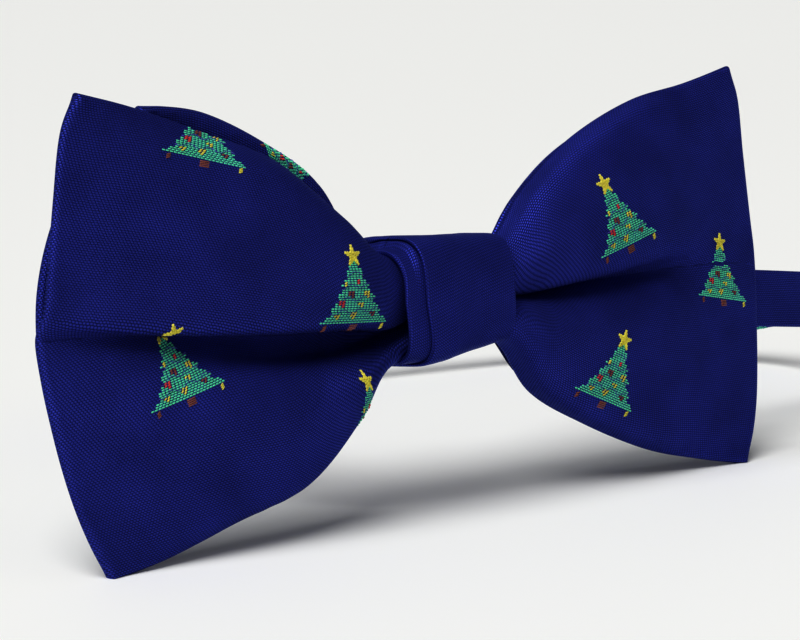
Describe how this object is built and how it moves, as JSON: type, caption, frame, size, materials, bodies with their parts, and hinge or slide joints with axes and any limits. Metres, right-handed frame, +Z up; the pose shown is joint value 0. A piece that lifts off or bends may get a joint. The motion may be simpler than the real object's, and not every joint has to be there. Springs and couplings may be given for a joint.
{
  "type": "bow tie",
  "caption": "Ready-tied bow tie: layered navy cloth bow gathered by a pleated knot, on an adjustable neckband closed by a metal hook and eye.",
  "frame": {"origin": "bottom centre of the whole object's box, on the table the tie stands on", "axes": "+X from the bow's left tip to its right tip and on round the neckband, +Y from the front of the bow to the wearer's neck, +Z up"},
  "size_m": [0.1778, 0.0926, 0.0602],
  "materials": {
    "tie_cloth": "deep navy woven satin with small fir-tree figures woven in green, yellow, red and brown",
    "knot_cloth": "the same navy satin cut on the bias, so its weave runs at 45 degrees",
    "neckband_cloth": "deep navy woven satin with small fir-tree figures woven in green, yellow, red and brown",
    "interlining": "unbleached woven interlining",
    "sewing_thread": "navy sewing thread",
    "nickel": "polished nickel plating"
  },
  "bodies": {
    "bow": {"front_bow_face": "tie_cloth", "front_bow_interlining": "interlining", "front_bow_backing": "tie_cloth", "back_bow_face": "tie_cloth", "back_bow_interlining": "interlining", "back_bow_backing": "tie_cloth", "centre_binding_thread": "sewing_thread", "knot_wrap": "knot_cloth", "knot_interlining": "interlining", "knot_closing_stitches": "sewing_thread", "neckband_long_strap": "neckband_cloth"},
    "short_end": {"short_strap": "neckband_cloth", "short_strap_end_fold": "neckband_cloth", "hook_bartack": "sewing_thread"},
    "hook": {"hook": "nickel"},
    "slider": {"slider_frame": "nickel", "slider_end_fold": "neckband_cloth", "slider_bartack": "sewing_thread"},
    "eye_fold": {"eye_end_fold": "neckband_cloth"},
    "eye": {"eye_ring": "nickel"}
  },
  "joints": [
    {"name": "short_strap_swing", "type": "hinge", "parent": "bow", "child": "short_end", "pos_m": [-0.04763, -0.02553, 0.02712], "axis": [0, 0.1028, 0.9947], "range_deg": [0, 50]},
    {"name": "hook_pivot", "type": "hinge", "parent": "short_end", "child": "hook", "pos_m": [-0.05201, -0.00932, 0.02409], "axis": [-0.0273, 0.177, 0.9838], "range_deg": [0, 35]},
    {"name": "slider_travel", "type": "slide", "parent": "bow", "child": "slider", "axis": [0.4513, 0.8697, -0.1998], "range_m": [0, 0.008]},
    {"name": "eye_travel", "type": "slide", "parent": "bow", "child": "eye_fold", "axis": [0.4513, 0.8697, -0.1998], "range_m": [0, 0.004]},
    {"name": "eye_pivot", "type": "hinge", "parent": "eye_fold", "child": "eye", "pos_m": [-0.05232, 0.01014, 0.02039], "axis": [0.0496, 0.1991, 0.9787], "range_deg": [0, 35]}
  ],
  "couplings": [
    {"joint": "eye_travel", "follows": "slider_travel", "ratio": 0.5}
  ]
}
